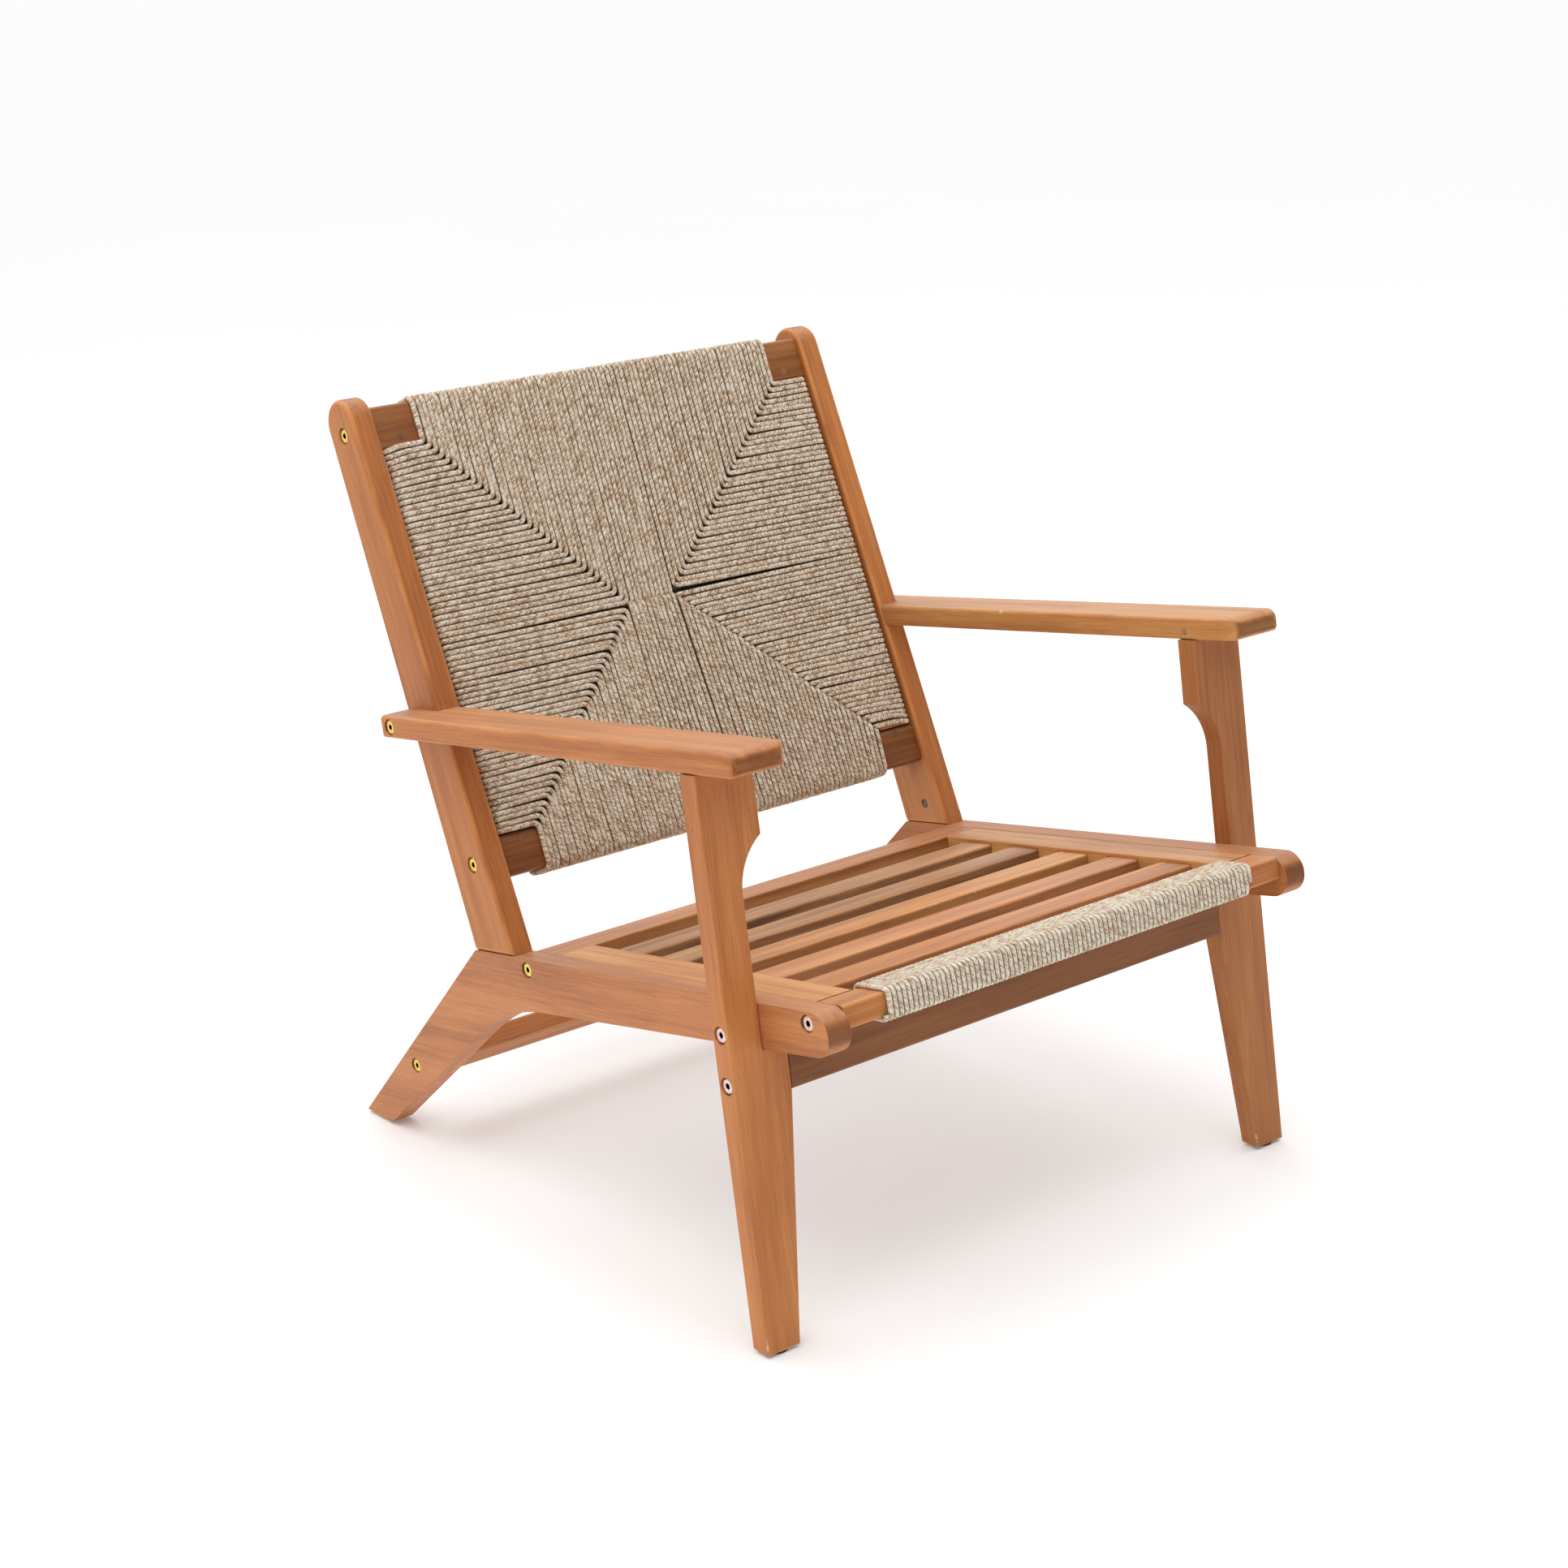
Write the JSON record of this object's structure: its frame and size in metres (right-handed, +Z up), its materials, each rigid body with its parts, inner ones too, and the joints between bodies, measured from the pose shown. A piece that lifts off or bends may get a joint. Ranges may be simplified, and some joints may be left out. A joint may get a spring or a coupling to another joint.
{
  "type": "armchair",
  "caption": "Low wooden armchair with a raked plank frame, slatted seat, flat arms and a back woven in rope round its rails and stiles.",
  "frame": {"origin": "on the floor, under the centre of the chair's bounding box", "axes": "+Z up, the chair faces -Y, +X is to the right as seen from the front"},
  "size_m": [0.66, 0.812, 0.7797],
  "materials": {
    "wood": "oiled",
    "pale_wood": "oiled",
    "grey_wood": "oiled",
    "rope": "braided cord",
    "brass": "zinc-yellow plating",
    "steel": "plated",
    "rubber": "moulded"
  },
  "bodies": {
    "root": {"arm_left": "wood", "arm_pin_left": "grey_wood", "arm_pin_right": "grey_wood", "arm_right": "wood", "back_low_rail": "wood", "back_post_left": "wood", "back_post_right": "wood", "back_stile_left": "wood", "back_stile_right": "wood", "back_top_rail": "wood", "back_weave": "rope", "barrel_nut_left": "brass", "barrel_nut_right": "brass", "bolt_arm_rear_left": "brass", "bolt_arm_rear_right": "brass", "bolt_front_rail_left": "steel", "bolt_front_rail_right": "steel", "bolt_leg_lower_left": "steel", "bolt_leg_lower_right": "steel", "bolt_leg_upper_left": "steel", "bolt_leg_upper_right": "steel", "bolt_low_rail_left": "brass", "bolt_low_rail_right": "brass", "bolt_rear_rail_left": "brass", "bolt_rear_rail_right": "brass", "bolt_stretcher_left": "brass", "bolt_stretcher_right": "brass", "bolt_top_rail_left": "brass", "bolt_top_rail_right": "brass", "cross_bolt_left": "steel", "cross_bolt_right": "steel", "front_apron": "wood", "front_leg_left": "wood", "front_leg_right": "wood", "front_rail_wrap": "rope", "front_seat_rail": "pale_wood", "glide_front_left": "rubber", "glide_front_right": "rubber", "glide_rear_left": "rubber", "glide_rear_right": "rubber", "plug_low_rail_left": "pale_wood", "plug_low_rail_right": "pale_wood", "plug_top_rail_left": "grey_wood", "plug_top_rail_right": "grey_wood", "rear_seat_rail": "wood", "rear_stretcher": "wood", "seat_slat_1": "grey_wood", "seat_slat_2": "grey_wood", "seat_slat_3": "pale_wood", "seat_slat_4": "pale_wood", "seat_slat_5": "wood", "seat_strip_left": "pale_wood", "seat_strip_right": "pale_wood", "side_panel_left": "wood", "side_panel_right": "wood"}
  },
  "joints": []
}
